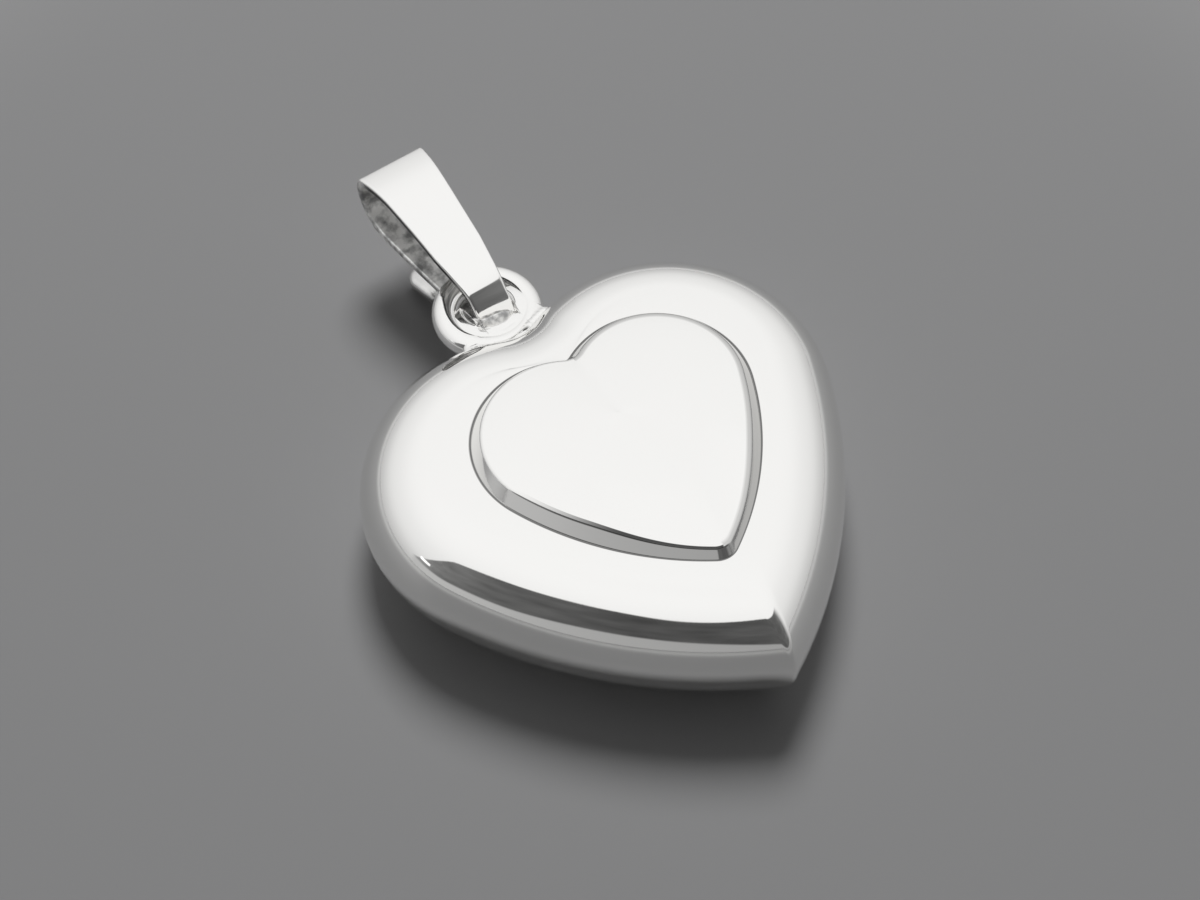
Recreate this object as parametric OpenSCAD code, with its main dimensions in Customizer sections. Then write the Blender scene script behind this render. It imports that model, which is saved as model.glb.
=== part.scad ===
// Puffed heart pendant in polished silver, lying on its back, in millimetres.
// +Y runs from the heart's tip to the bail, +Z is the front face's outward side,
// and the origin is on the surface it lies on, under the middle of its box.

/* [Heart outline] */
// Width across both lobes
heart_w = 20; // [18:0.1:22]
// Radius of each lobe
lobe_r = 6.65; // [6.2:0.05:7]
// Radius of the long side below each lobe
side_r = 20.6; // [18:0.1:24]
// Angle below level at which a lobe passes into its side
side_turn = 24.7; // [20:0.1:30]
// Radius in the bottom of the cleft
cleft_r = 1.5; // [1:0.1:2.5]
// Radius at the tip along the seam
tip_r = 0.3; // [0.2:0.05:0.6]

/* [Heart section] */
// Height of the seam between the two stamped halves
seam_z = 2.8; // [2.4:0.1:3.2]
// Width of the rolled rim, from the seam inwards
rim_w = 2.75; // [2:0.05:3.2]
// Height of the front half's rolled rim above the seam
front_rim_h = 2.85; // [2.4:0.05:3.2]
// Rise of the front face from the rim to the middle
front_crown = 0.28; // [0.2:0.02:0.6]
// Rise of the back face over its flat middle
back_crown = 0.3; // [0.2:0.05:0.5]
// Distance from the seam at which the back becomes flat
back_flat_inset = 4.4; // [3.6:0.1:5]
// Thickness of the stamped sheet
sheet_t = 0.4; // [0.3:0.05:0.6]

/* [Raised heart] */
// Width of the raised heart at its foot
raised_w = 11.7; // [10.8:0.1:12]
// Radius of each of its lobes
raised_lobe_r = 3.8; // [3.5:0.05:3.9]
// Radius of each of its sides
raised_side_r = 13; // [11:0.1:15]
// Angle below level at which its lobes pass into its sides
raised_side_turn = 22.5; // [19:0.1:25]
// Radius of its tip at the foot
raised_tip_r = 0.9; // [0.8:0.05:1]
// How far its lobes' centres lie below those of the heart
raised_drop = 0.75; // [0.6:0.05:0.9]
// Angle by which it was stamped off the heart's axis, towards the left at the tip
raised_turn = 1.4; // [0:0.1:2]
// Distance by which it was stamped to the right of the heart's axis
raised_x = 0.12; // [0:0.02:0.2]
// Height of its wall
raised_h = 0.68; // [0.45:0.01:0.7]
// Share of that height which is left at its tip
raised_tip_share = 0.8; // [0.5:0.05:1]
// Slope of its wall
wall_angle = 59; // [50:1:65]
// Rise of its top from the edge to the middle
raised_crown = 0.14; // [0.05:0.01:0.3]

/* [Ring] */
// Radius of the ring, to the middle of its wire
ring_r = 1.78; // [1.6:0.02:2]
// Radius of the ring's wire
wire_r = 0.55; // [0.45:0.01:0.6]
// Distance of the ring's middle above the lobes' centres
ring_y = 8.2; // [8.1:0.05:8.3]
// Distance by which the ring is soldered off the heart's axis
ring_x = 0.2; // [0:0.05:0.3]
// Reach of the solder saddle to the left of the heart's axis
solder_left = 1.9; // [1.6:0.05:2]
// Reach of the solder saddle to the right, where it ends in a sharp corner
solder_right = 2.35; // [2.2:0.05:2.4]
// Thickness of the solder saddle
solder_t = 1; // [0.7:0.05:1.05]
// Height of the solder's pool in front of the strap above the saddle
pool_rise = 0.25; // [0.1:0.05:0.3]

/* [Bail] */
// Thickness of the bail's strap
strap_t = 0.38; // [0.3:0.02:0.45]
// Width of the strap at its far fold
fold_w = 3.15; // [2.6:0.05:3.2]
// Width of the strap where it passes through the ring
neck_w = 1.54; // [1.3:0.02:1.6]
// Distance of the bail's middle to the right of the heart's axis
bail_x = 0.25; // [0.15:0.05:0.3]
// Gap between the strap and the ring's wire
wire_gap = 0.12; // [0.1:0.01:0.15]
// Angle at which the back of the strap rises from the ring
back_rise = 10.3; // [9:0.1:12]
// Length of the straight back of the strap
back_l = 4.33; // [4:0.01:4.4]
// Radius of the lower part of the far fold
fold_low_r = 1.8; // [1.7:0.05:1.9]
// Radius of the sharp bend at the top of the far fold
fold_top_r = 0.31; // [0.28:0.01:0.4]
// Radius of the strap's end round the ring's wire
hook_r = 0.7; // [0.6:0.05:0.8]
// Length of the tail beyond the ring's wire
tail_l = 2.7; // [2:0.1:3]
// Width of the tail's round end
tail_w = 2.1; // [1.4:0.05:2.1]
// Angle at which the tail falls away from the back of the strap
tail_fall = 22; // [15:1:24]

/* [Hidden] */
$fn = 64;

// Columns of an outline row
HALF_W = 0;
LOBE_R = 1;
LOBE_Y = 2;
SIDE_R = 3;
SIDE_TURN = 4;
CLEFT_R = 5;

//        half width, lobe radius, lobe height, side radius, side turn, cleft radius
outer_shape = [heart_w / 2, lobe_r, 0, side_r, side_turn, cleft_r];
raised_shape = [raised_w / 2, raised_lobe_r, -raised_drop, raised_side_r, raised_side_turn, 0.3];

// Points along the cleft, a lobe, a side and the tip, first of the heart and then of the raised
// heart, whose cleft is so tight that its lobes take more of them
SKIN_POINTS = [[5, 18, 12, 5], [2, 21, 12, 5]];
HOLLOW_POINTS = [[3, 9, 6, 3], [1, 11, 6, 3]];
RIM_STEPS = 7;

// The tip's radius grows with the distance in from the seam, so its crease fades upwards
tip_growth = 0.35;

silver = [0.86, 0.86, 0.87];

function lobe_centre(s) = [s[HALF_W] - s[LOBE_R], s[LOBE_Y]];
function side_centre(s) =
    lobe_centre(s) - (s[SIDE_R] - s[LOBE_R]) * [cos(s[SIDE_TURN]), -sin(s[SIDE_TURN])];
function cleft_centre(s) =
    [0, s[LOBE_Y] + sqrt(pow(s[LOBE_R] + s[CLEFT_R], 2) - pow(lobe_centre(s).x, 2))];
function tip_centre(s, inset, tip) =
    [0, side_centre(s).y - sqrt(pow(s[SIDE_R] - inset - tip, 2) - pow(side_centre(s).x, 2))];

// n points of an arc, without its first one
function arc(centre, r, from, to, n) =
    [for (i = [1:n]) centre + r * [cos(from + (to - from) * i / n), sin(from + (to - from) * i / n)]];

// Right half of an outline moved inwards by inset, from the cleft to the tip
function half_outline(s, inset, tip, counts) =
    let (
        lobe = lobe_centre(s),
        side = side_centre(s),
        cleft = cleft_centre(s),
        point = tip_centre(s, inset, tip),
        to_lobe = atan2(lobe.y - cleft.y, lobe.x),
        to_tip = atan2(point.y - side.y, -side.x)
    )
    concat(
        [[0, cleft.y - s[CLEFT_R] - inset]],
        arc(cleft, s[CLEFT_R] + inset, -90, to_lobe, counts[0]),
        arc(lobe, s[LOBE_R] - inset, to_lobe + 180, -s[SIDE_TURN], counts[1]),
        arc(side, s[SIDE_R] - inset, -s[SIDE_TURN], to_tip, counts[2]),
        arc(point, tip, to_tip, -90, counts[3])
    );

// The whole outline, clockwise from the cleft
function outline(s, inset, tip, counts) =
    let (half = half_outline(s, inset, tip, counts), last = len(half) - 1)
    concat(half, [for (i = [last - 1:-1:1]) [-half[i].x, half[i].y]]);

function ring_at(points, z) = [for (p = points) [p.x, p.y, z]];

// Height of a face above the seam at a distance in from it: a quarter ellipse and a low crown
function rim_height(d, h) = h * sqrt(1 - pow(1 - min(d / rim_w, 1), 2));
function crown_height(d, rise, reach) = rise * (1 - pow(1 - min(d / reach, 1), 2));

front_reach = 4.4;
back_rim_h = seam_z - back_crown;
foot_inset = 2.9;
front_z = seam_z + front_rim_h + front_crown;

// Rows of [inset, height above or below the seam] for the back and the front
rim_insets = [for (i = [0:RIM_STEPS]) rim_w * (1 - cos(90 * i / RIM_STEPS))];
back_insets = concat(rim_insets, [(rim_w + back_flat_inset) / 2, back_flat_inset]);
front_insets = concat(rim_insets, [foot_inset]);

function back_row(d) =
    [d, -rim_height(d, back_rim_h) - crown_height(d, back_crown, back_flat_inset)];
function front_row(d) =
    [d, rim_height(d, front_rim_h) + crown_height(d, front_crown, front_reach)];

// The raised heart's wall is a hollow arc at its foot, a straight lean and a round edge
foot_r = 0.1;
edge_r = 0.2;
ARC_STEPS = 3;
straight_h = raised_h - (foot_r + edge_r) * (1 - cos(wall_angle));
wall_lean = (foot_r + edge_r) * sin(wall_angle) + straight_h / tan(wall_angle);
top_tip_r = 0.5;

// Rows of [inset, height over the front face] up the wall
function wall_point(r, i) = r * [sin(wall_angle * i / ARC_STEPS), 1 - cos(wall_angle * i / ARC_STEPS)];
wall_rows = concat(
    [for (i = [0:ARC_STEPS]) wall_point(foot_r, i)],
    [for (i = [ARC_STEPS:-1:0]) [wall_lean, raised_h] - wall_point(edge_r, i)]
);

// The wall gets lower towards the tip: its share of the full height at a distance above the tip
raised_fall = 2.7;
function smooth(x) = let (t = max(0, min(1, x))) t * t * (3 - 2 * t);
function wall_share(above_tip) =
    raised_tip_share + (1 - raised_tip_share) * smooth(above_tip / raised_fall);

// One ring of the raised heart inside its foot outline, turned and shifted as it was stamped
function raised_ring(row, wall, counts, scale) =
    let (
        foot = outline(raised_shape, wall, raised_tip_r, counts),
        full = outline(raised_shape, wall + wall_lean, top_tip_r, counts),
        low = min([for (p = foot) p.y])
    )
    [for (i = [0:len(foot) - 1])
        let (
            share = wall_share(foot[i].y - low),
            p = foot[i] + (full[i] - foot[i]) * share * row[0] / wall_lean
        )
        [raised_x + p.x * cos(raised_turn) + p.y * sin(raised_turn),
         p.y * cos(raised_turn) - p.x * sin(raised_turn),
         seam_z + (front_z - seam_z + share * row[1]) * scale]];

// The top's last ring, half way in to the middle, at the height of its crown
crown_inset = wall_lean + 1.2;
crown_tip_r = 0.4;
function crown_ring(wall, counts, scale) =
    ring_at(outline(raised_shape, crown_inset + wall, crown_tip_r, counts),
            seam_z + (front_z - seam_z + raised_h + 0.8 * raised_crown) * scale);

// All rings of the body from the back's middle to the front's, drawn in by a wall
function body_rings(wall, counts) =
    let (
        back_scale = 1 - wall / seam_z,
        front_scale = 1 - wall / (front_z - seam_z),
        last = len(back_insets) - 1
    )
    concat(
        [for (i = [last:-1:1])
            let (row = back_row(back_insets[i]))
            ring_at(outline(outer_shape, row[0] + wall, tip_r + tip_growth * row[0], counts[0]),
                    seam_z + row[1] * back_scale)],
        [for (d = front_insets)
            let (row = front_row(d))
            ring_at(outline(outer_shape, row[0] + wall, tip_r + tip_growth * row[0], counts[0]),
                    seam_z + row[1] * front_scale)],
        [for (row = wall_rows) raised_ring(row, wall, counts[1], front_scale)],
        [crown_ring(wall, counts[1], front_scale)]
    );

// Solid through rings of equal length, closed by a fan to a point on the axis at each end
module skin(rings, bottom, top) {
    n = len(rings[0]);
    m = len(rings);
    points = concat([for (r = rings) each r], [bottom, top]);
    sides = [for (k = [0:m - 2]) for (i = [0:n - 1])
        let (j = (i + 1) % n)
        each [[k * n + i, k * n + j, (k + 1) * n + j], [k * n + i, (k + 1) * n + j, (k + 1) * n + i]]];
    under = [for (i = [0:n - 1]) [m * n, (i + 1) % n, i]];
    over = [for (i = [0:n - 1]) [m * n + 1, (m - 1) * n + i, (m - 1) * n + (i + 1) % n]];
    polyhedron(points = points, faces = concat(sides, under, over));
}

module heart_form(wall, counts) {
    rings = body_rings(wall, counts);
    middle = -1;
    crown_z = rings[len(rings) - 1][0].z + 0.2 * raised_crown;
    skin(rings, [0, middle, rings[0][0].z], [0, middle, crown_z]);
}

// Filled corners between the ring and both lobes, which leave a slot in the ring's hole for the
// strap, and a pool in front of the strap that stands higher
module solder() {
    foot_y = ring_y - 2.3;
    shoulder_y = ring_y - 0.85;
    corner_y = ring_y - 1.5;
    left_y = ring_y - 1.2;
    pool_y = ring_y - 0.76;
    pool_foot_y = ring_y - 1.05;
    slot_w = neck_w + 0.24;
    slot_left = bail_x - slot_w / 2;
    slot_right = bail_x + slot_w / 2;
    slot_end_y = ring_y + 0.75;
    cheek_x = 1.45;
    cheek_y = ring_y + 0.6;
    translate([0, 0, seam_z - solder_t / 2]) {
        linear_extrude(solder_t)
            difference() {
                polygon([[-solder_left, foot_y], [solder_right, foot_y], [solder_right, corner_y],
                         [ring_x + ring_r, shoulder_y], [ring_x + cheek_x, cheek_y],
                         [slot_right, slot_end_y], [slot_right, pool_y],
                         [slot_left, pool_y], [slot_left, slot_end_y],
                         [ring_x - cheek_x, cheek_y], [ring_x - ring_r, shoulder_y],
                         [-solder_left, left_y]]);
                polygon(outline(outer_shape, sheet_t / 2, tip_r, SKIN_POINTS[0]));
            }
        translate([slot_left, pool_foot_y, 0])
            cube([slot_w, pool_y - pool_foot_y, solder_t + pool_rise]);
    }
}

module ring() {
    translate([ring_x, ring_y, seam_z])
        rotate_extrude()
            translate([ring_r, 0])
                circle(r = wire_r);
}

module heart() {
    color(silver)
        translate([0, -middle_y, 0])
            difference() {
                union() {
                    heart_form(0, SKIN_POINTS);
                    ring();
                    solder();
                }
                heart_form(sheet_t, HOLLOW_POINTS);
            }
}

// Columns of a station [y, z, heading, distance] along the strap, and of a bend
HEADING = 2;
DISTANCE = 3;
RADIUS = 0;
TO = 1;
STEPS = 2;

function last(list) = list[len(list) - 1];

// The station at the end of a straight run
function run(from, length) =
    let (h = from[HEADING])
    [from.x + length * cos(h), from.y + length * sin(h), h, from[DISTANCE] + length];

// The stations round a bend to a new heading, and round several in a row
function bend(from, row) =
    let (h = from[HEADING], r = row[RADIUS], centre = [from.x - r * sin(h), from.y + r * cos(h)])
    [for (i = [1:row[STEPS]])
        let (turned = (row[TO] - h) * i / row[STEPS], a = h + turned)
        [centre.x + r * sin(a), centre.y - r * cos(a), a, from[DISTANCE] + r * turned * PI / 180]];
function bends(from, rows, i = 0) =
    i == len(rows) ? [] :
    let (part = bend(from, rows[i]))
    concat(part, bends(last(part), rows, i + 1));

// The strap from its soldered end under the wire, along the back, round the far fold and down
// the front into the ring, which it enters square
wire_y = ring_y + ring_r;
clear_of_wire = wire_r + wire_gap + strap_t / 2;
back_overlap = 0.4;
back_end = [wire_y + clear_of_wire * sin(back_rise) - back_overlap * cos(back_rise),
            seam_z - clear_of_wire * cos(back_rise) - back_overlap * sin(back_rise),
            back_rise, 0];
// Rows of radius, heading at the end and steps: the fold's low part, its sharp bend and its top,
// the front, its shoulder, the neck and the way into the ring
front_bends = [
    [fold_low_r, 109.7, 9],
    [fold_top_r, 160.7, 5],
    [3.8, 189.5, 6],
    [32.1, 197.5, 4],
    [1.45, 217, 4],
    [4.1, 230.5, 4],
    [0.25, 270, 3]
];
back = [back_end, run(back_end, back_l)];
front = bends(back[1], front_bends);

// The end turned under the wire, and the dip to the tail behind it
tail_gap = 0.05;
tail_z = back_end.y - strap_t - tail_gap;
drop = run(last(front), last(front).y - tail_z - hook_r);
hook = bend(drop, [hook_r, 360, 8]);
under = run(last(hook), wire_y + 0.3 - last(hook).x);
dip = bend(under, [-2, 360 - tail_fall, 3]);
strap = concat(back, front, [drop], hook, [under], dip);

// Rows of distance along the strap and its width there
fold_at = front[front_bends[0][STEPS] - 1][DISTANCE];
neck_at = last(front)[DISTANCE] - 1;
strap_widths = [
    [0, 1.27],
    [fold_at - 5.1, 2.1],
    [fold_at - 2.55, 2.87],
    [fold_at, fold_w],
    [fold_at + 2, 2.72],
    [fold_at + 4.2, 2.35],
    [fold_at + 5.1, 2.25],
    [neck_at, neck_w],
    [neck_at + 1.2, neck_w],
    [neck_at + 2, 1.2],
    [under[DISTANCE], 1.2],
    [last(dip)[DISTANCE], tail_w]
];

// Four corners of the strap at a station, for the half width w there
function strap_ring(at, w) =
    let (n = [-sin(at[HEADING]), cos(at[HEADING])] * strap_t / 2)
    [[w, at.x + n.x, at.y + n.y], [-w, at.x + n.x, at.y + n.y],
     [-w, at.x - n.x, at.y - n.y], [w, at.x - n.x, at.y - n.y]];

// The tail runs straight on from the dip and ends in a half round
tail_r = tail_w / 2;
tail_rings = [for (a = [0:10:80])
    strap_ring(run(last(dip), tail_l - tail_r * (1 - sin(a))), tail_r * cos(a))];
strap_rings = concat(
    [for (at = strap) strap_ring(at, lookup(at[DISTANCE], strap_widths) / 2)],
    tail_rings
);
function centre_of(ring) = (ring[0] + ring[2]) / 2;

// Joint between the back's end and the tail that it lies on
module joint() {
    joint_w = 1;
    joint_l = 0.5;
    translate([-joint_w / 2, back_end.x + tail_gap, tail_z])
        cube([joint_w, joint_l, back_end.y - tail_z]);
}

module bail() {
    color(silver)
        translate([bail_x, -middle_y, 0]) {
            skin(strap_rings, centre_of(strap_rings[0]), centre_of(last(strap_rings)));
            joint();
        }
}

fold_y = max([for (ring = strap_rings) ring[2].y]);
tip_y = tip_centre(outer_shape, 0, tip_r).y - tip_r;
middle_y = (fold_y + tip_y) / 2;

heart();
bail();
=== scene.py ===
"""Puffed heart pendant in polished silver, lying on its back on a pale floor.

The sections follow the pendant as it is put together: the stamped heart, the ring in its cleft,
the solder that holds the ring, and the strap bail. Floor, light and camera come last. Shapes are
worked out in millimetres in the frame's axes and become metres when their mesh is made.
"""

import bpy
import numpy as np
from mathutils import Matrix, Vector


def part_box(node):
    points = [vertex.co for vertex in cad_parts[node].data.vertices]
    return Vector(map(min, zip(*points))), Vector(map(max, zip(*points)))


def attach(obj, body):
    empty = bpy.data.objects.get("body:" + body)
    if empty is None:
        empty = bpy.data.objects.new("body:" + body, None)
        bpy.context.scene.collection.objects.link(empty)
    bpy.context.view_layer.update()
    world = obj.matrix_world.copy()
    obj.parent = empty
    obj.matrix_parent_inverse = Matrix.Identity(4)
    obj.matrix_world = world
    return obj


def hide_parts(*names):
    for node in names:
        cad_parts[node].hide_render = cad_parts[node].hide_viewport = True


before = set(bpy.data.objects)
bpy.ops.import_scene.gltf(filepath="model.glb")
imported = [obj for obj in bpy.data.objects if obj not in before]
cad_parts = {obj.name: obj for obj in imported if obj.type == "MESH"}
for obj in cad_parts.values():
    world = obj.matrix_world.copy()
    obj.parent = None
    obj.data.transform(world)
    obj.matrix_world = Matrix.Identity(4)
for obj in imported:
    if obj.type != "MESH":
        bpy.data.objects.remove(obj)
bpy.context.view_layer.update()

# Heart body
# Two halves are stamped from sheet silver, soldered rim to rim and polished to a mirror. The
# front half carries a smaller raised heart on a short leaning wall, pressed in the same stamping.

MM = 0.001
heart_low, heart_high = (np.array(corner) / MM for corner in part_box("heart"))
half_width = (heart_high[0] - heart_low[0]) / 2
lobe_r = 6.65
side_r = 20.6
side_turn = 24.7
cleft_r = 1.5
tip_r = 0.3
tip_growth = 0.35
seam_z = 2.8
rim_w = 2.75
front_rim_h = 2.85
front_crown = 0.28
front_reach = 4.4
back_crown = 0.3
back_flat_inset = 4.4
foot_inset = 2.9

raised_half_width = 5.85
raised_lobe_r = 3.8
raised_side_r = 13
raised_side_turn = 22.5
raised_cleft_r = 0.3
raised_drop = 0.75
raised_tip_r = 0.9
raised_turn = 1.4
raised_x = 0.12
raised_h = 0.68
raised_tip_share = 0.64
raised_fall = 3.6
wall_angle = 59
wall_foot_r = 0.1
wall_edge_r = 0.22
top_tip_r = 0.5
raised_crown = 0.14
top_reach = 2.4
top_tip_growth = 0.75
top_middle_y = -1.2

# Points along the cleft, a lobe, a side and the tip of one half outline
heart_counts = (14, 72, 54, 14)
# Rows round the rim, over the back's flat, on the front's last stretch, on the band between rim
# and raised heart, round each arc of the wall and over the raised heart's top
rim_steps = 40
flat_steps = 10
front_steps = 4
band_steps = 8
arc_steps = 12
top_steps = 26


def arcs(centre_x, centre_y, radius, start, stop, share):
    """Rows of points on circles: the centre plus the radius along angles from start to stop."""
    angle = start + (stop - start) * share
    return np.stack([centre_x + radius * np.cos(angle), centre_y + radius * np.sin(angle)], axis=-1)


def heart_outline(shape, inset, tip):
    """Closed heart curves, one row for each inset, clockwise from the cleft.

    Each half is four tangent arcs: the cleft's radius grows with the inset, the lobe's and the
    side's shrink, and the tip's is given. The centres of cleft, lobe and side never move, so the
    rows are parallel curves, and the left half mirrors the right one.
    """
    half, lobe, lobe_y, side, turn, cleft = shape
    inset = np.reshape(inset, (-1, 1))
    tip = np.reshape(tip, (-1, 1))
    turn = np.radians(turn)
    lobe_x = half - lobe
    side_x = lobe_x - (side - lobe) * np.cos(turn)
    side_y = lobe_y + (side - lobe) * np.sin(turn)
    cleft_y = lobe_y + np.sqrt((lobe + cleft) ** 2 - lobe_x**2)
    tip_y = side_y - np.sqrt((side - inset - tip) ** 2 - side_x**2)
    to_lobe = np.arctan2(lobe_y - cleft_y, lobe_x)
    to_tip = np.arctan2(tip_y - side_y, -side_x)
    shares = [np.arange(count) / count for count in heart_counts]
    closing = np.append(shares[3], 1)
    right = np.concatenate(
        [
            arcs(0, cleft_y, cleft + inset, -np.pi / 2, to_lobe, shares[0]),
            arcs(lobe_x, lobe_y, lobe - inset, to_lobe + np.pi, -turn, shares[1]),
            arcs(side_x, side_y, side - inset, -turn, to_tip, shares[2]),
            arcs(0, tip_y, tip, to_tip, -np.pi / 2, closing),
        ],
        axis=1,
    )
    return np.concatenate([right, right[:, -2:0:-1] * [-1, 1]], axis=1)


def smooth(value, low, high):
    """0 below low, 1 above high, and a smooth step between them."""
    share = np.clip((value - low) / (high - low), 0, 1)
    return share**2 * (3 - 2 * share)


def rise(distance, height, reach):
    """Height of a low crown at a distance in from its edge: a parabola that levels at reach."""
    return height * (1 - (1 - np.clip(distance / reach, 0, 1)) ** 2)


def grid_mesh(name, rows):
    """Mesh through closed rows of points, whose first and last row close to their middle point.

    The vertices are the rows with a pole before and after them. Each cell between two rows is a
    quad, and each pole takes a fan of triangles.
    """
    count, ring = rows.shape[:2]
    points = np.concatenate(
        [rows[0].mean(axis=0)[None], rows.reshape(-1, 3), rows[-1].mean(axis=0)[None]]
    )
    here = np.arange(ring)
    after = np.roll(here, -1)
    low = 1 + ring * np.arange(count - 1)[:, None]
    quads = np.stack([low + here, low + ring + here, low + ring + after, low + after], axis=-1)
    top = 1 + ring * (count - 1)
    first = np.stack([np.zeros(ring, int), here + 1, after + 1], axis=-1)
    final = np.stack([np.full(ring, len(points) - 1), top + after, top + here], axis=-1)
    mesh = bpy.data.meshes.new(name)
    faces = quads.reshape(-1, 4).tolist() + first.tolist() + final.tolist()
    mesh.from_pydata((points * MM).tolist(), [], faces)
    mesh.shade_smooth()
    return mesh


def add_piece(name, mesh, material):
    """Object of a mesh that rides with the pendant, with its finish and the record's slot."""
    piece = bpy.data.objects.new(name, mesh)
    bpy.context.scene.collection.objects.link(piece)
    mesh.materials.append(material)
    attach(piece, "root")
    return piece


def mark(mesh, name, values):
    """Writes one number per vertex of a grid mesh as an attribute; the two poles take 0."""
    attribute = mesh.attributes.new(name, "FLOAT", "POINT")
    attribute.data.foreach_set("value", np.concatenate([[0], values.ravel(), [0]]))


heart_shape = (half_width, lobe_r, 0, side_r, side_turn, cleft_r)
raised_shape = (
    raised_half_width, raised_lobe_r, -raised_drop, raised_side_r, raised_side_turn, raised_cleft_r
)
# Height of the part frame's origin above the lobes' centres, from the heart's tip in the frame
tip_y = heart_outline(heart_shape, 0, tip_r)[0, :, 1].min()
lobes_y = heart_low[1] - tip_y

quarter = np.linspace(0, np.pi / 2, rim_steps)
rim_inset = rim_w * (1 - np.cos(quarter))
back_rim_h = seam_z - back_crown


def flat_rows(outlines, heights):
    """Rows of 3-D points from outlines and the heights of their points."""
    heights = np.broadcast_to(heights, outlines.shape[:2])
    return np.concatenate([outlines, heights[..., None]], axis=2)


# The back, from its flat middle to the seam
back_inset = np.concatenate([rim_inset, np.linspace(rim_w, back_flat_inset, flat_steps)[1:]])[::-1]
back_height = seam_z - rise(back_inset, back_crown, back_flat_inset)
back_height[-rim_steps:] -= back_rim_h * np.sin(quarter[::-1])
back_height[:-rim_steps] -= back_rim_h
back_rows = flat_rows(
    heart_outline(heart_shape, back_inset, tip_r + tip_growth * back_inset), back_height[:, None]
)
# The front's rolled rim, from the seam to the foot of the raised heart
front_inset = np.concatenate([rim_inset[1:], np.linspace(rim_w, foot_inset, front_steps)[1:]])
front_height = seam_z + rise(front_inset, front_crown, front_reach)
front_height[: rim_steps - 1] += front_rim_h * np.sin(quarter[1:])
front_height[rim_steps - 1 :] += front_rim_h
front_rows = flat_rows(
    heart_outline(heart_shape, front_inset, tip_r + tip_growth * front_inset), front_height[:, None]
)


def stamped(outlines):
    """Outlines of the raised heart, turned and shifted as they were stamped."""
    turn = np.radians(raised_turn)
    x, y = outlines[..., 0], outlines[..., 1]
    turned = [raised_x + x * np.cos(turn) + y * np.sin(turn), y * np.cos(turn) - x * np.sin(turn)]
    return np.stack(turned, axis=-1)


# The band between the rim and the raised heart: straight across, with the crown's own rise
foot = heart_outline(raised_shape, 0, raised_tip_r)
rim_edge = front_rows[-1, :, :2]
across_band = stamped(foot) - rim_edge
close_to_foot = 0.97
band_share = np.append(np.linspace(0, 1, band_steps)[1:-1], [close_to_foot, 1])[:, None]
band_inset = foot_inset + band_share * np.linalg.norm(across_band[0], axis=1)
band_rows = flat_rows(
    rim_edge + band_share[..., None] * across_band,
    seam_z + front_rim_h + rise(band_inset, front_crown, front_reach),
)
foot_z = band_rows[-1, :, 2]
# The raised heart's wall, as inset and height: a hollow arc at the foot, a straight lean and a
# round edge. It gets lower towards the tip.
lean = np.radians(wall_angle)
turns = np.linspace(0, lean, arc_steps)
foot_arc = wall_foot_r * np.array([np.sin(turns), 1 - np.cos(turns)])
edge_arc = wall_edge_r * np.array([np.sin(turns), 1 - np.cos(turns)])[:, ::-1]
straight_h = raised_h - foot_arc[1, -1] - edge_arc[1, 0]
raised_lean = foot_arc[0, -1] + edge_arc[0, 0] + straight_h / np.tan(lean)
wall_inset = np.concatenate([foot_arc[0], raised_lean - edge_arc[0]])
wall_height = np.concatenate([foot_arc[1], raised_h - edge_arc[1]])
above_tip = foot[0, :, 1] - foot[0, :, 1].min()
wall_share = raised_tip_share + (1 - raised_tip_share) * smooth(above_tip, 0, raised_fall)
leaning_in = heart_outline(raised_shape, raised_lean, top_tip_r) - foot
wall_outline = foot + leaning_in * (wall_share * wall_inset[:, None] / raised_lean)[..., None]
wall_rows = flat_rows(stamped(wall_outline), foot_z + wall_share * wall_height[:, None])
# The raised heart's top, which closes in on its middle under a low crown. It starts at the
# wall's own height, and is level half way in.
top_share = np.linspace(0, 1, top_steps)[1:-1, None]
top_inset = raised_lean + top_reach * top_share
top_tip = top_tip_r + top_tip_growth * (top_inset - raised_lean)
top_outline = heart_outline(raised_shape, top_inset, top_tip)
top_outline += (wall_outline[-1] - foot - leaning_in) * (1 - top_share[..., None]) ** 3
top_outline += top_share[..., None] ** 2 * (np.array([0, top_middle_y]) - top_outline)
top_height = wall_share + (1 - wall_share) * smooth(top_share, 0, 0.5)
top_rows = flat_rows(
    stamped(top_outline), foot_z + raised_h * top_height + rise(top_share, raised_crown, 1)
)
# Painted shade: a dark line along the wall's foot and at the band's end, another under its edge
# on the left of the tip, and a darker right half of the wall.
foot_painted_shade = 0.8
band_end_painted_shade = 0.5
under_edge_painted_shade = 0.93
right_side_painted_shade = 0.35
# The way round is 0 at the cleft, runs down the right side to 0.5 at the tip, and up the left
way_round = np.arange(len(wall_share)) / len(wall_share)
arc_share = np.linspace(0, 1, arc_steps)[:, None]
on_left = smooth(way_round, 0.5, 0.51)
beside_tip = on_left * (1 - smooth(way_round, 0.62, 0.73))
low_on_arc = 1 - smooth(arc_share, 0.5, 1)
under_edge = smooth(arc_share, 0.1, 0.4) * (1 - smooth(arc_share, 0.9, 1))
foot_shade = np.broadcast_to(foot_painted_shade * low_on_arc, (arc_steps, len(way_round)))
under_edge_shade = under_edge_painted_shade * beside_tip * under_edge
right_side_shade = right_side_painted_shade * (1 - on_left)
wall_shade = np.maximum(np.concatenate([foot_shade, under_edge_shade]), right_side_shade)
heart_painted_shade = np.concatenate(
    [
        np.zeros((len(back_rows) + len(front_rows) + len(band_rows) - 1, len(way_round))),
        np.full((1, len(way_round)), band_end_painted_shade),
        wall_shade,
        np.zeros((len(top_rows), len(way_round))),
    ]
)
heart_rows = np.concatenate([back_rows, front_rows, band_rows, wall_rows, top_rows])
heart_rows[..., 1] += lobes_y

silver_colour = (0.93, 0.925, 0.91, 1)
# Painted shade: the colour the silver is mixed towards where the mesh marks shade
painted_shade_black = (0.01, 0.01, 0.01, 1)
smear_scale = 420
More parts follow.
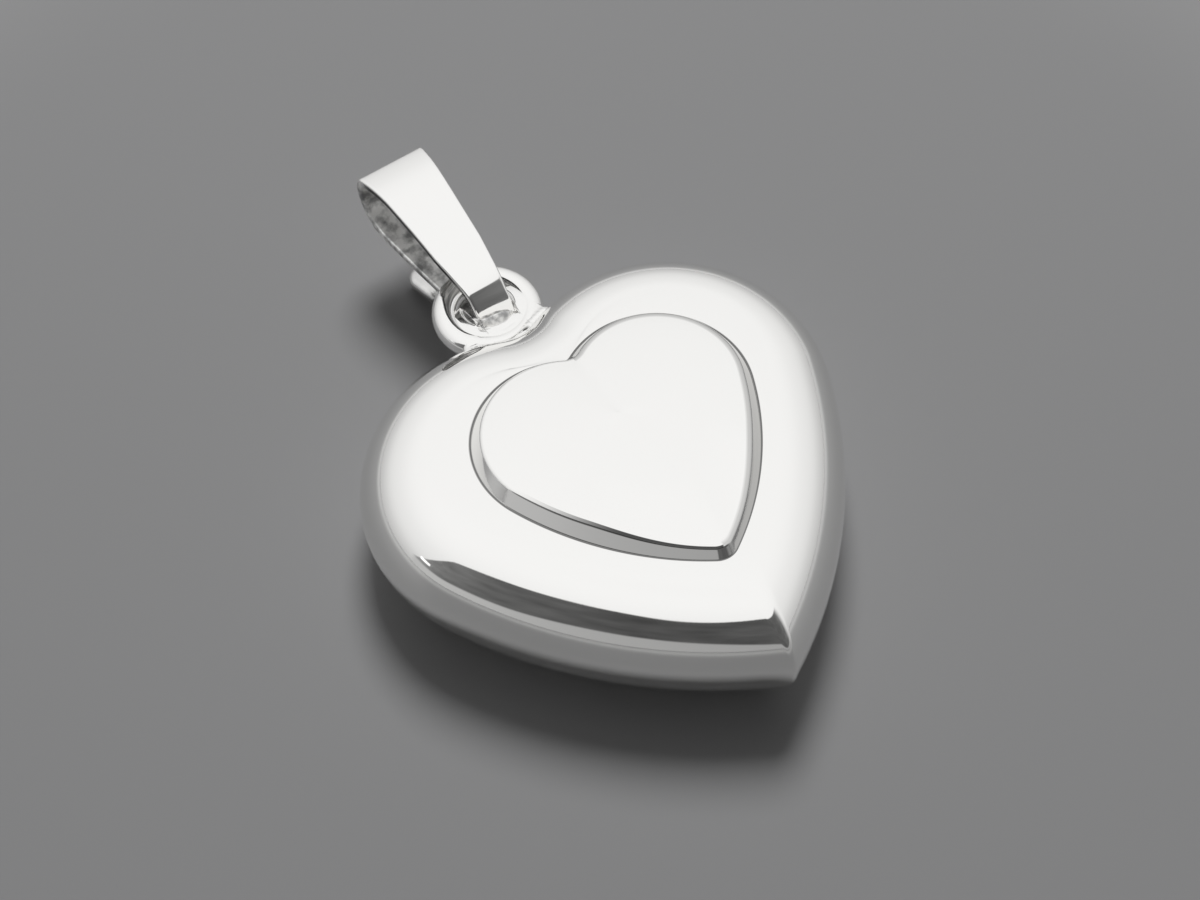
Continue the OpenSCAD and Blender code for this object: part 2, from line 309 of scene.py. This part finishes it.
# Shares of a finish's roughness between which it varies
least_rough = 0.7
most_rough = 1.4
# Headings of the scratches in radians, and the scale of their noise along, across and through
scratch_headings = (0.4, 1.5, 2.5)
scratch_scale = (250, 9000, 2500)


def mirror_silver(name, roughness, waviness, scratches, wave_scale=250, wave_detail=1):
    """Polished silver: bare metal whose shine varies slightly, over faint waves and scratches.

    Waves are smooth noise a few millimetres long, left by the buffing wheel. Scratches are noise
    that is drawn out into lines at three headings. Painted shade makes it near black where marked.
    """
    material = bpy.data.materials.new(name)
    material.use_nodes = True
    nodes = material.node_tree.nodes
    links = material.node_tree.links
    shader = nodes["Principled BSDF"]
    shader.inputs["Metallic"].default_value = 1
    # Painted shade: an attribute of the mesh mixes the silver colour towards near black
    painted_shade = nodes.new("ShaderNodeAttribute")
    painted_shade.attribute_name = "painted_shade"
    painted_shade_mix = nodes.new("ShaderNodeMix")
    painted_shade_mix.data_type = "RGBA"
    painted_shade_mix.inputs["A"].default_value = silver_colour
    painted_shade_mix.inputs["B"].default_value = painted_shade_black
    links.new(painted_shade.outputs["Fac"], painted_shade_mix.inputs["Factor"])
    links.new(painted_shade_mix.outputs["Result"], shader.inputs["Base Color"])
    place = nodes.new("ShaderNodeTexCoord")
    waves = nodes.new("ShaderNodeTexNoise")
    waves.inputs["Scale"].default_value = wave_scale
    waves.inputs["Detail"].default_value = wave_detail
    links.new(place.outputs["Object"], waves.inputs["Vector"])
    wave_bump = nodes.new("ShaderNodeBump")
    wave_bump.inputs["Strength"].default_value = 1
    wave_bump.inputs["Distance"].default_value = waviness
    links.new(waves.outputs["Fac"], wave_bump.inputs["Height"])
    normal = wave_bump.outputs["Normal"]
    smears = nodes.new("ShaderNodeTexNoise")
    smears.inputs["Scale"].default_value = smear_scale
    smears.inputs["Detail"].default_value = 5
    links.new(place.outputs["Object"], smears.inputs["Vector"])
    shine = nodes.new("ShaderNodeMapRange")
    shine.inputs["From Min"].default_value = 0.3
    shine.inputs["From Max"].default_value = 0.7
    shine.inputs["To Min"].default_value = roughness * least_rough
    shine.inputs["To Max"].default_value = roughness * most_rough
    links.new(smears.outputs["Fac"], shine.inputs["Value"])
    links.new(shine.outputs["Result"], shader.inputs["Roughness"])
    for heading in scratch_headings:
        turned = nodes.new("ShaderNodeMapping")
        turned.inputs["Rotation"].default_value = (0, 0, heading)
        turned.inputs["Scale"].default_value = scratch_scale
        links.new(place.outputs["Object"], turned.inputs["Vector"])
        lines = nodes.new("ShaderNodeTexNoise")
        lines.inputs["Scale"].default_value = 1
        lines.inputs["Detail"].default_value = 2
        links.new(turned.outputs["Vector"], lines.inputs["Vector"])
        scratch_bump = nodes.new("ShaderNodeBump")
        scratch_bump.inputs["Distance"].default_value = scratches
        links.new(lines.outputs["Fac"], scratch_bump.inputs["Height"])
        links.new(normal, scratch_bump.inputs["Normal"])
        normal = scratch_bump.outputs["Normal"]
    links.new(normal, shader.inputs["Normal"])
    return material


heart_silver = mirror_silver("heart_polish", roughness=0.05, waviness=0.000004, scratches=0.0000001)
heart = add_piece("heart_body", grid_mesh("heart_body", heart_rows), heart_silver)
# Painted shade along the raised heart's wall and at its foot
mark(heart.data, "painted_shade", heart_painted_shade)
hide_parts("heart")

# Ring
# Round silver wire bent to a ring and soldered flat into the heart's cleft, in the seam's plane.
# It is slightly off the heart's axis, as it was set by eye.

ring_r = 1.78
wire_r = 0.55
ring_x = 0.2
ring_y = lobes_y + 8.2


def torus(centre, radius, wire, around, across):
    """Grid of a ring: a circle of wire radius, carried round a circle of the ring's radius.

    A row is the wire's section at angle a: the centre plus radius + wire cos b along a, and
    wire sin b up.
    """
    a = np.linspace(0, 2 * np.pi, around, endpoint=False)[:, None]
    b = np.linspace(0, 2 * np.pi, across, endpoint=False)
    out = radius + wire * np.cos(b)
    return np.stack(
        [
            centre[0] + out * np.cos(a),
            centre[1] + out * np.sin(a),
            np.broadcast_to(centre[2] + wire * np.sin(b), (around, across)),
        ],
        axis=-1,
    )


def wrapped_mesh(name, rows):
    """Mesh through rows that close both ways: each point meets the next, and the last the first."""
    count, ring = rows.shape[:2]
    index = np.arange(count * ring).reshape(count, ring)
    quads = np.stack(
        [
            index,
            np.roll(index, -1, axis=0),
            np.roll(index, (-1, -1), axis=(0, 1)),
            np.roll(index, -1, axis=1),
        ],
        axis=-1,
    )
    mesh = bpy.data.meshes.new(name)
    mesh.from_pydata((rows.reshape(-1, 3) * MM).tolist(), [], quads.reshape(-1, 4).tolist())
    mesh.shade_smooth()
    return mesh


ring_rows = torus((ring_x, ring_y, seam_z), ring_r, wire_r, around=120, across=40)
# Filed silver: the roughness added where it is rough, the depth of its grains in metres, and the
# shares of the grains' noise where its grey patches end and the clear silver starts
rough_added = 0.4
grain_depth = 0.00004
patch_end = 0.38
silver_start = 0.58


def filed_mirror(name, roughness, waviness, wave_scale, grain_scale, patch):
    """Silver that was filed and buffed by hand: rough where the mesh says so.

    It is the heart's polish with uneven waves. The rough part adds grains and grey patches.
    """
    material = mirror_silver(
        name, roughness, waviness, scratches=0.0000002, wave_scale=wave_scale, wave_detail=2.5
    )
    nodes = material.node_tree.nodes
    links = material.node_tree.links
    shader = nodes["Principled BSDF"]
    rough = nodes.new("ShaderNodeAttribute")
    rough.attribute_name = "rough"
    grain = nodes.new("ShaderNodeTexNoise")
    grain.inputs["Scale"].default_value = grain_scale
    grain.inputs["Detail"].default_value = 4
    links.new(nodes["Texture Coordinate"].outputs["Object"], grain.inputs["Vector"])
    # Roughness: the polish's own, and more where the mesh is rough
    rougher = nodes.new("ShaderNodeMath")
    rougher.operation = "MULTIPLY_ADD"
    rougher.inputs[1].default_value = rough_added
    links.new(rough.outputs["Fac"], rougher.inputs[0])
    links.new(shader.inputs["Roughness"].links[0].from_socket, rougher.inputs[2])
    links.new(rougher.outputs["Value"], shader.inputs["Roughness"])
    # Grains of the rough part
    grain_bump = nodes.new("ShaderNodeBump")
    grain_bump.inputs["Distance"].default_value = grain_depth
    links.new(rough.outputs["Fac"], grain_bump.inputs["Strength"])
    links.new(grain.outputs["Fac"], grain_bump.inputs["Height"])
    links.new(shader.inputs["Normal"].links[0].from_socket, grain_bump.inputs["Normal"])
    links.new(grain_bump.outputs["Normal"], shader.inputs["Normal"])
    # Colour: greyer in patches where it is rough
    # The patched silver feeds the mix that paints shade near black
    painted_shade_mix = shader.inputs["Base Color"].links[0].from_node
    patches = nodes.new("ShaderNodeValToRGB")
    patches.color_ramp.elements[0].position = patch_end
    patches.color_ramp.elements[0].color = (patch, patch, patch, 1)
    patches.color_ramp.elements[1].position = silver_start
    patches.color_ramp.elements[1].color = silver_colour
    links.new(grain.outputs["Fac"], patches.inputs["Fac"])
    dulled = nodes.new("ShaderNodeMix")
    dulled.data_type = "RGBA"
    dulled.inputs["A"].default_value = silver_colour
    links.new(rough.outputs["Fac"], dulled.inputs["Factor"])
    links.new(patches.outputs["Color"], dulled.inputs["B"])
    links.new(dulled.outputs["Result"], painted_shade_mix.inputs["A"])
    return material


filed_silver = filed_mirror(
    "filed_polish",
    roughness=0.08,
    waviness=0.00001,
    wave_scale=900,
    grain_scale=3200,
    patch=0.45,
)
ring = add_piece("ring", wrapped_mesh("ring", ring_rows), filed_silver)
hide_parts("heart")

# Solder
# A saddle of silver solder fills the corners between ring and lobes and the near part of the
# ring's hole. It was filed roughly flat and polished outside the hole, with a pinhole or two left.

# Columns: place along X, upper edge above the ring's middle, half thickness
solder_table = np.array(
    [
        [-1.95, -1.6, 0.1],
        [-1.8, -1.1, 0.38],
        [-1.58, -0.7, 0.48],
        [-1.3, 0.4, 0.52],
        [-1.2, 0.62, 0.52],
        [-0.68, 0.78, 0.52],
        [-0.63, 0.7, 0.52],
        [-0.58, -0.67, 0.52],
        [0.3, -0.74, 0.52],
        [1.06, -0.93, 0.52],
        [1.12, 0.7, 0.52],
        [1.18, 0.75, 0.52],
        [1.6, 0.58, 0.52],
        [1.75, 0.3, 0.52],
        [1.98, -0.85, 0.5],
        [2.2, -1.2, 0.4],
        [2.35, -1.45, 0.2],
    ]
)
solder_steps = 180
solder_low = 2.5
solder_x = np.linspace(solder_table[0, 0], solder_table[-1, 0], solder_steps)
solder_top = ring_y + np.interp(solder_x, solder_table[:, 0], solder_table[:, 1])
solder_foot = np.full_like(solder_x, ring_y - solder_low)
solder_half = np.interp(solder_x, solder_table[:, 0], solder_table[:, 2])


def bar_rows(x, low, high, half, corner, across):
    """Closed rows of a flat bar along X: superellipses between low and high, half thick each way.

    At angle b a row's point is cos b of the half width from the middle, and as high as the
    superellipse is there. A small corner gives a squarer section.
    """
    b = np.linspace(0, 2 * np.pi, across, endpoint=False)
    x, low, high, half, corner = (np.reshape(v, (-1, 1)) for v in (x, low, high, half, corner))
    wide = np.cos(b)
    tall = np.sign(np.sin(b)) * (1 - np.abs(wide) ** (2 / corner)) ** (corner / 2)
    return np.stack(
        [
            np.broadcast_to(x, (len(x), across)),
            (low + high) / 2 + (high - low) / 2 * wide,
            seam_z + half * tall,
        ],
        axis=-1,
    )


# In the slot that the strap goes down through, the bar's section is squarer than elsewhere
bar_corner = 0.6
squarer = 0.4
in_slot = smooth(solder_x, -0.66, -0.6) * (1 - smooth(solder_x, 1.06, 1.12))
solder_corner = bar_corner - squarer * in_slot
solder_rows = bar_rows(solder_x, solder_foot, solder_top, solder_half, solder_corner, across=240)
# Inside the ring's hole the solder rises towards the strap and lies lower on both sides of it
upper_fade = 0.3
pool_r = 1.16
pool_fade = 0.12
pool_start = -1.12
pool_run = 0.45
pool_slope = 1
side_drop = 0.1
from_ring = np.hypot(solder_rows[..., 0] - ring_x, solder_rows[..., 1] - ring_y)
upper = smooth(solder_rows[..., 2], seam_z, seam_z + upper_fade)
pool = upper * smooth(-from_ring, -pool_r, -pool_r + pool_fade)
up_the_hole = solder_rows[..., 1] - ring_y
beside_strap = smooth(up_the_hole, -0.66, -0.5)
pool_rise = pool_slope * np.clip(up_the_hole - pool_start, 0, pool_run)
solder_rows[..., 2] += pool * (pool_rise * (1 - beside_strap) - side_drop * beside_strap)
# A bead of solder runs along the heart, with its crest a little way out from the seam
bead_h = 0.1
bead_w = 0.16
bead_reach = 3
seam = heart_outline(heart_shape, 0, tip_r)[0]
seam[:, 1] += lobes_y
near_cleft = seam[seam[:, 1] > ring_y - bead_reach]
apart = np.linalg.norm(solder_rows[..., None, :2] - near_cleft, axis=-1).min(axis=-1)
solder_rows[..., 2] += bead_h * upper * np.exp(-(((apart - bead_w) / bead_w) ** 2))
# Pinholes and file marks. Columns: place along X, place above the lobes' centres, heading, half
# length, half width, depth. Those as deep as a pinhole get painted shade inside.
file_mark_depth = 0.03
pinhole_depth = 0.1
dents = [
    [0.68, 6.28, 0.05, 0.24, 0.05, 0.1],
    [-1.55, 7.42, 0.1, 0.16, 0.04, 0.1],
    [-1.38, 6.92, -0.2, 0.24, 0.05, 0.03],
    [0.35, 6.85, 0.1, 0.3, 0.06, 0.012],
]
pinhole_shade = np.zeros_like(pool)
for dent_x, dent_y, heading, length, width, depth in dents:
    along = solder_rows[..., 0] - dent_x
    aside = solder_rows[..., 1] - lobes_y - dent_y
    u = (along * np.cos(heading) + aside * np.sin(heading)) / length
    v = (aside * np.cos(heading) - along * np.sin(heading)) / width
    dent = upper * np.exp(-(u**4) - v**2)
    solder_rows[..., 2] -= depth * dent
    pinhole_shade += dent * smooth(depth, file_mark_depth, pinhole_depth)
solder = add_piece("solder", grid_mesh("solder", solder_rows), filed_silver)
side_polish = 0.8
mark(solder.data, "rough", pool * (1 - side_polish * beside_strap))
# Painted shade inside the pinholes
mark(solder.data, "painted_shade", pinhole_shade)
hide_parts("heart")

# Bail
# A strap of sheet silver, wide at its far fold and narrow at the ring, folded over itself so that
# it hooks round the ring's wire. Its end was soldered under the back and runs on as a short tail.

strap_t = 0.38
bail_x = 0.25
fold_w = 3.15
neck_w = 1.68
tail_w = 2.1
tail_l = 2.7
tail_t = 0.5
wire_gap = 0.12
back_rise = 10.3
back_l = 4.33
hook_r = 0.7
tail_fall = 22
tail_gap = 0.05
past_wire = 0.3
dip_r = 2
# The fold's low part, its sharp bend and its top, the front, its shoulder, the neck and the way
# into the ring. Columns: radius, heading at the end in degrees
front_bends = [
    [1.8, 109.7],
    [0.31, 160.7],
    [3.8, 189.5],
    [32.1, 197.5],
    [1.45, 217],
    [4.1, 230.5],
    [0.25, 270],
]
wire_y = ring_y + ring_r
clear_of_wire = wire_r + wire_gap + strap_t / 2
rise_angle = np.radians(back_rise)
back_overlap = 0.4
steps_per_turn = 240


def straight(path, length, steps):
    """Adds a straight run to a path: steps along the last heading."""
    y, z, heading, distance = path[-1]
    s = length * np.arange(1, steps + 1) / steps
    run = [y + s * np.cos(heading), z + s * np.sin(heading), np.full(steps, heading), distance + s]
    return np.concatenate([path, np.stack(run, axis=1)])


def bend(path, radius, heading):
    """Adds an arc to a path: about a centre at the radius to the left, up to a heading in degrees.

    A negative radius bends to the right.
    """
    y, z, start, distance = path[-1]
    turn = np.radians(heading) - start
    steps = max(6, int(abs(turn) / (2 * np.pi) * steps_per_turn))
    a = start + turn * np.arange(1, steps + 1) / steps
    centre_y = y - radius * np.sin(start)
    centre_z = z + radius * np.cos(start)
    run = distance + radius * (a - start)
    part = [centre_y + radius * np.sin(a), centre_z - radius * np.cos(a), a, run]
    return np.concatenate([path, np.stack(part, axis=1)])


back_end = np.array(
    [
        wire_y + clear_of_wire * np.sin(rise_angle) - back_overlap * np.cos(rise_angle),
        seam_z - clear_of_wire * np.cos(rise_angle) - back_overlap * np.sin(rise_angle),
        rise_angle,
        0,
    ]
)
# Along the path, columns: Y, Z, heading in radians, distance from the back's end
path = straight(back_end[None], back_l, 12)
path = bend(path, *front_bends[0])
fold_at = path[-1, 3]
for radius, heading in front_bends[1:]:
    path = bend(path, radius, heading)
neck_at = path[-1, 3] - 1
neck_end = neck_at + 1.2
hook_at = neck_at + 2
tail_z = back_end[1] - strap_t - tail_gap
path = straight(path, path[-1, 1] - tail_z - hook_r, 4)
path = bend(path, hook_r, 360)
path = straight(path, wire_y + past_wire - path[-1, 0], 8)
under_at = path[-1, 3]
path = bend(path, -dip_r, 360 - tail_fall)
dip_at = path[-1, 3]
tail_r = tail_w / 2
path = straight(path, tail_l - tail_r, 12)
tail_end_steps = 14
round_turn = np.linspace(0, np.pi / 2, tail_end_steps)[1:-1]
for step in np.diff(np.sin(np.concatenate([[0], round_turn]))):
    path = straight(path, tail_r * step, 1)

hook_w = 1.2
# Columns: distance along the strap, width there
strap_widths = np.array(
    [
        [0, 1.27],
        [fold_at - 5.1, 2.1],
        [fold_at - 2.55, 2.87],
        [fold_at, fold_w],
        [fold_at + 2, 2.72],
        [fold_at + 4.2, 2.35],
        [fold_at + 5.1, 2.25],
        [neck_at, neck_w],
        [neck_end, neck_w],
        [hook_at, hook_w],
        [under_at, hook_w],
        [dip_at, tail_w],
    ]
)
width = np.interp(path[:, 3], strap_widths[:, 0], strap_widths[:, 1])
# The tail is thicker and has round edges
edge_r = 0.1
tail_edge_r = tail_t / 2 - 0.01
tail_share = smooth(path[:, 3], dip_at - 0.5, dip_at + 0.6)
thickness = strap_t + (tail_t - strap_t) * tail_share
corner = edge_r + (tail_edge_r - edge_r) * tail_share
ending = len(round_turn)
width[-ending:] = tail_w * np.cos(round_turn)
thickness[-ending:] *= np.sqrt(np.cos(round_turn))
corner[-ending:] *= np.sqrt(np.cos(round_turn))


CORNER_STEPS = 6
FLAT_STEPS = 9


def strap_rows(path, width, thickness, corner):
    """Closed rows of a flat strap along a path in the Y-Z plane: rectangles with round corners.

    A point is the path's point plus its place across along X and its place through along the
    path's normal. The flat sides carry points that crowd towards the corners.
    """
    quarter = np.linspace(0, np.pi / 2, CORNER_STEPS)
    flat = (1 + np.sin(np.linspace(-np.pi / 2, np.pi / 2, FLAT_STEPS)[1:-1])) / 2
    side_x, side_y, round_x, round_y = [], [], [], []
    for turn in range(4):
        start = turn * np.pi / 2
        corner_x, corner_y = np.sign(np.cos(start + np.pi / 4)), np.sign(np.sin(start + np.pi / 4))
        next_x, next_y = -corner_y, corner_x
        side_x += [corner_x] * CORNER_STEPS + list(corner_x + (next_x - corner_x) * flat)
        side_y += [corner_y] * CORNER_STEPS + list(corner_y + (next_y - corner_y) * flat)
        angle = np.append(quarter, [np.pi / 2] * len(flat)) + start
        round_x += list(np.cos(angle))
        round_y += list(np.sin(angle))
    width, thickness, corner = width[:, None], thickness[:, None], corner[:, None]
    across = np.maximum(width / 2 - corner, 0.001) * side_x + corner * round_x
    through = (thickness / 2 - corner) * side_y + corner * round_y
    normal_y = -np.sin(path[:, 2])[:, None]
    normal_z = np.cos(path[:, 2])[:, None]
    return np.stack(
        [bail_x + across, path[:, :1] + through * normal_y, path[:, 1:2] + through * normal_z],
        axis=-1,
    )


bail_silver = filed_mirror(
    "bail_polish",
    roughness=0.05,
    waviness=0.000003,
    wave_scale=250,
    grain_scale=1700,
    patch=0.3,
)
bail_rows = strap_rows(path, width, thickness, corner)
# The strap was bent a little askew above the ring: its right edge comes down further
askew = 0.46
askew_heading = np.radians(228)
bending = smooth(path[:, 3], neck_at - 0.8, neck_at + 0.6)
bending *= 1 - smooth(path[:, 3], neck_end, hook_at)
to_the_right = np.clip((bail_rows[..., 0] - bail_x) / neck_w + 0.5, 0, 1)
shift = askew * bending[:, None] * to_the_right**2
bail_rows[..., 1] += shift * np.cos(askew_heading)
bail_rows[..., 2] += shift * np.sin(askew_heading)
bail = add_piece("bail_strap", grid_mesh("bail_strap", bail_rows), bail_silver)
# The strap's inside is as it came from the sheet, and its edges are as the shears left them:
# dull, with painted shade on the front. A section has four sides, each a round corner and a flat.
side_steps = CORNER_STEPS + FLAT_STEPS - 2
column = np.arange(4 * side_steps)
on_flat = column % side_steps >= CORNER_STEPS - 1
side = column // side_steps
inside = (side == 0) | (column == side_steps)
edges = (on_flat & (side % 2 == 1)) | (~on_flat & (side < 2))
front_edge_polish = 0.5
front_edge_painted_shade = 0.93
tail_dullness = 0.1
on_tail = tail_share[:, None]
on_front = smooth(path[:, 3], fold_at + 0.2, fold_at + 0.9)[:, None]
dull_edges = edges * (1 - front_edge_polish * on_front)
dull_strap = (1 - on_tail) * np.maximum(inside, dull_edges) + tail_dullness * on_tail
mark(bail.data, "rough", dull_strap)
# Painted shade on the front's edges
mark(bail.data, "painted_shade", front_edge_painted_shade * (1 - on_tail) * on_front * edges)
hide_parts("bail")

# Floor
# A plain matt surface under the pendant, grey in the picture and graded into white outside it,
# so that the heart's rolled rim mirrors it brighter further out.

floor_half = 0.4
floor_roughness = 0.45
floor_grey = (0.4, 0.4, 0.405, 1)
floor_white = (0.8, 0.8, 0.8, 1)
grey_to = 0.03
white_from = 0.07
floor_mesh = bpy.data.meshes.new("floor")
floor_corners = [
    (-floor_half, -floor_half, 0),
    (floor_half, -floor_half, 0),
    (floor_half, floor_half, 0),
    (-floor_half, floor_half, 0),
]
floor_mesh.from_pydata(floor_corners, [], [(0, 1, 2, 3)])
floor = bpy.data.objects.new("floor", floor_mesh)
bpy.context.scene.collection.objects.link(floor)
floor_paint = bpy.data.materials.new("floor_paint")
floor_paint.use_nodes = True
floor_nodes = floor_paint.node_tree.nodes
floor_links = floor_paint.node_tree.links
floor_nodes["Principled BSDF"].inputs["Roughness"].default_value = floor_roughness
from_middle = floor_nodes.new("ShaderNodeVectorMath")
from_middle.operation = "LENGTH"
floor_links.new(floor_nodes.new("ShaderNodeTexCoord").outputs["Object"], from_middle.inputs[0])
paler = floor_nodes.new("ShaderNodeMapRange")
paler.interpolation_type = "SMOOTHSTEP"
paler.inputs["From Min"].default_value = grey_to
paler.inputs["From Max"].default_value = white_from
floor_links.new(from_middle.outputs["Value"], paler.inputs["Value"])
floor_shades = floor_nodes.new("ShaderNodeMix")
floor_shades.data_type = "RGBA"
floor_shades.inputs["A"].default_value = floor_grey
floor_shades.inputs["B"].default_value = floor_white
floor_links.new(paler.outputs["Result"], floor_shades.inputs["Factor"])
floor_links.new(floor_shades.outputs["Result"], floor_nodes["Principled BSDF"].inputs["Base Color"])
floor_mesh.materials.append(floor_paint)

# Camera
# It looks down on the pendant from the front left, as the photograph does.

camera_azimuth = np.radians(-35.5)
camera_elevation = np.radians(56.15)
camera_distance = 0.1
camera_target = Vector((0.0011, (lobes_y + 1.54) * MM, 0))
pixels_per_mm = 24.45
image_w = 1200
sensor_w = 36
to_camera = Vector(
    (
        np.sin(camera_azimuth) * np.cos(camera_elevation),
        -np.cos(camera_azimuth) * np.cos(camera_elevation),
        np.sin(camera_elevation),
    )
)
lens = bpy.data.cameras.new("camera")
lens.sensor_width = sensor_w
lens.lens = pixels_per_mm / MM * camera_distance * sensor_w / image_w
lens.clip_start = 0.005
camera = bpy.data.objects.new("camera", lens)
camera.rotation_mode = "QUATERNION"
camera.location = camera_target + to_camera * camera_distance
camera.rotation_quaternion = (-to_camera).to_track_quat("-Z", "Y")
bpy.context.scene.collection.objects.link(camera)
bpy.context.scene.camera = camera

# Light
# A white light tent over the pendant, brightest overhead. Its front wall is open on the camera's
# side and shows the dim room, above a pale strip of the tent's floor.

tent = bpy.data.worlds.new("light_tent")
bpy.context.scene.world = tent
tent.use_nodes = True
tent_nodes = tent.node_tree.nodes
tent_links = tent.node_tree.links


def tent_math(operation, *values):
    """Output of a math node on sockets or numbers."""
    node = tent_nodes.new("ShaderNodeMath")
    node.operation = operation
    for socket, value in zip(node.inputs, values):
        if isinstance(value, bpy.types.NodeSocket):
            tent_links.new(value, socket)
        else:
            socket.default_value = value
    return node.outputs["Value"]


def tent_step(value, low, high):
    """0 below low, 1 above high, and smooth between them."""
    node = tent_nodes.new("ShaderNodeMapRange")
    node.interpolation_type = "SMOOTHSTEP"
    tent_links.new(value, node.inputs["Value"])
    for name, number in (("From Min", low), ("From Max", high)):
        if isinstance(number, bpy.types.NodeSocket):
            tent_links.new(number, node.inputs[name])
        else:
            node.inputs[name].default_value = number
    return node.outputs["Result"]


def tent_curve(value, low, high, points):
    """A smooth curve through (value, result) points, for values from low to high.

    The results are from 0 to 1.
    """
    scaled = tent_nodes.new("ShaderNodeMapRange")
    tent_links.new(value, scaled.inputs["Value"])
    scaled.inputs["From Min"].default_value = low
    scaled.inputs["From Max"].default_value = high
    node = tent_nodes.new("ShaderNodeFloatCurve")
    tent_links.new(scaled.outputs["Result"], node.inputs["Value"])
    curve = node.mapping.curves[0]
    places = [((at - low) / (high - low), result) for at, result in points]
    curve.points[0].location = places[0]
    curve.points[1].location = places[-1]
    for place in places[1:-1]:
        curve.points.new(*place)
    node.mapping.update()
    return node.outputs["Value"]


def tent_mix(share, low, high):
    """low plus share times the difference to high."""
    return tent_math("ADD", low, tent_math("MULTIPLY", share, tent_math("SUBTRACT", high, low)))


# Direction of the light: degrees round from the camera's side, and degrees up from the horizon
direction = tent_nodes.new("ShaderNodeTexCoord").outputs["Generated"]
facing = tent_nodes.new("ShaderNodeMapping")
facing.inputs["Rotation"].default_value = (0, 0, -camera_azimuth)
tent_links.new(direction, facing.inputs["Vector"])
parts = tent_nodes.new("ShaderNodeSeparateXYZ")
tent_links.new(facing.outputs["Vector"], parts.inputs["Vector"])
to_front = tent_math("MULTIPLY", parts.outputs["Y"], -1)
round_from_camera = tent_math("DEGREES", tent_math("ARCTAN2", parts.outputs["X"], to_front))
up = tent_math("DEGREES", tent_math("ARCSINE", parts.outputs["Z"]))


def by_side(points):
    """A curve through (degrees round from the camera's side, result) points, from -90 to 90."""
    return tent_curve(round_from_camera, -90, 90, points)


# Brightness of the tent's walls by the height, and of the room through the opening by the side
wall = tent_curve(up, 0, 90, [(0, 0.55), (8, 0.66), (19, 0.8), (34, 0.88), (50, 0.95), (90, 0.97)])
room = by_side(
    [
        (-90, 0.4), (-66, 0.26), (-55, 0.2), (-48, 0.15), (-22, 0.09),
        (0, 0.08), (14, 0.1), (55, 0.12), (90, 0.3),
    ]
)
mottle = tent_nodes.new("ShaderNodeTexNoise")
mottle.inputs["Scale"].default_value = 7
mottle.inputs["Detail"].default_value = 6
tent_links.new(facing.outputs["Vector"], mottle.inputs["Vector"])
# The room's share of its brightness where the mottle is darkest, and what the mottle adds
mottle_low = 0.45
mottle_gain = 1.1
mottled = tent_math("ADD", mottle_low, tent_math("MULTIPLY", mottle.outputs["Fac"], mottle_gain))
room = tent_math("MULTIPLY", room, mottled)
strip = by_side([(-90, 0.5), (-50, 0.49), (-25, 0.41), (0, 0.37), (40, 0.34), (90, 0.45)])
# Elevation of the opening's top and of the strip's top, as shares of a right angle
opening_top = by_side(
    [
        (-90, 0.06), (-72, 0.09), (-66, 0.16), (-60, 0.27), (-54, 0.39), (-51, 0.43), (-40, 0.485),
        (-20, 0.51), (0, 0.465), (20, 0.5), (40, 0.53), (60, 0.53), (90, 0.5),
    ]
)
opening_top = tent_math("MULTIPLY", 90, opening_top)
strip_top = by_side([(-90, 0.11), (-40, 0.1), (-20, 0.16), (0, 0.14), (20, 0.06), (90, 0.06)])
strip_top = tent_math("MULTIPLY", 90, strip_top)
above_strip = tent_step(up, tent_math("SUBTRACT", strip_top, 2), tent_math("ADD", strip_top, 1))
low_front = tent_mix(above_strip, strip, room)
# The opening's left and right end, as degrees between which its share rises and falls
opening_left = (-73, -69)
opening_right = (66, 86)
open_share = tent_math(
    "MULTIPLY",
    tent_step(round_from_camera, *opening_left),
    tent_math("SUBTRACT", 1, tent_step(round_from_camera, *opening_right)),
)
above_top = tent_step(up, tent_math("SUBTRACT", opening_top, 1), tent_math("ADD", opening_top, 1))
below_top = tent_math("SUBTRACT", 1, above_top)
light = tent_mix(tent_math("MULTIPLY", open_share, below_top), wall, low_front)
# A small lamp shines in at the opening's left end: its middle in degrees round and up, and the
# degrees from there between which it fades out
lamp_side = -64
lamp_height = 13
lamp_side_fade = (3, 4)
lamp_height_fade = (1, 2)
beside_lamp = tent_math("ABSOLUTE", tent_math("SUBTRACT", round_from_camera, lamp_side))
above_lamp = tent_math("ABSOLUTE", tent_math("SUBTRACT", up, lamp_height))
lamp = tent_math(
    "MULTIPLY",
    tent_math("SUBTRACT", 1, tent_step(beside_lamp, *lamp_side_fade)),
    tent_math("SUBTRACT", 1, tent_step(above_lamp, *lamp_height_fade)),
)
light = tent_math("ADD", light, lamp)
# What is dull gets only a weak share of the tent, because a soft lamp lights it from the far side
ray = tent_nodes.new("ShaderNodeLightPath")
tent_fill = 0.02
light = tent_mix(ray.outputs["Is Diffuse Ray"], light, tent_fill)
tent_links.new(light, tent_nodes["Background"].inputs["Strength"])
tent_nodes["Background"].inputs["Color"].default_value = (1, 1, 1, 1)
bpy.context.scene.view_settings.view_transform = "Standard"
key_distance = 0.4
key_elevation = np.radians(57)
key_light = bpy.data.lights.new("key", "AREA")
key_light.shape = "DISK"
key_light.size = 0.16
key_light.energy = 0.9
key = bpy.data.objects.new("key", key_light)
to_key = Vector(
    (
        -np.sin(camera_azimuth) * np.cos(key_elevation),
        np.cos(camera_azimuth) * np.cos(key_elevation),
        np.sin(key_elevation),
    )
)
key.location = camera_target + to_key * key_distance
key.rotation_mode = "QUATERNION"
key.rotation_quaternion = to_key.to_track_quat("Z", "Y")
key.visible_glossy = False
bpy.context.scene.collection.objects.link(key)
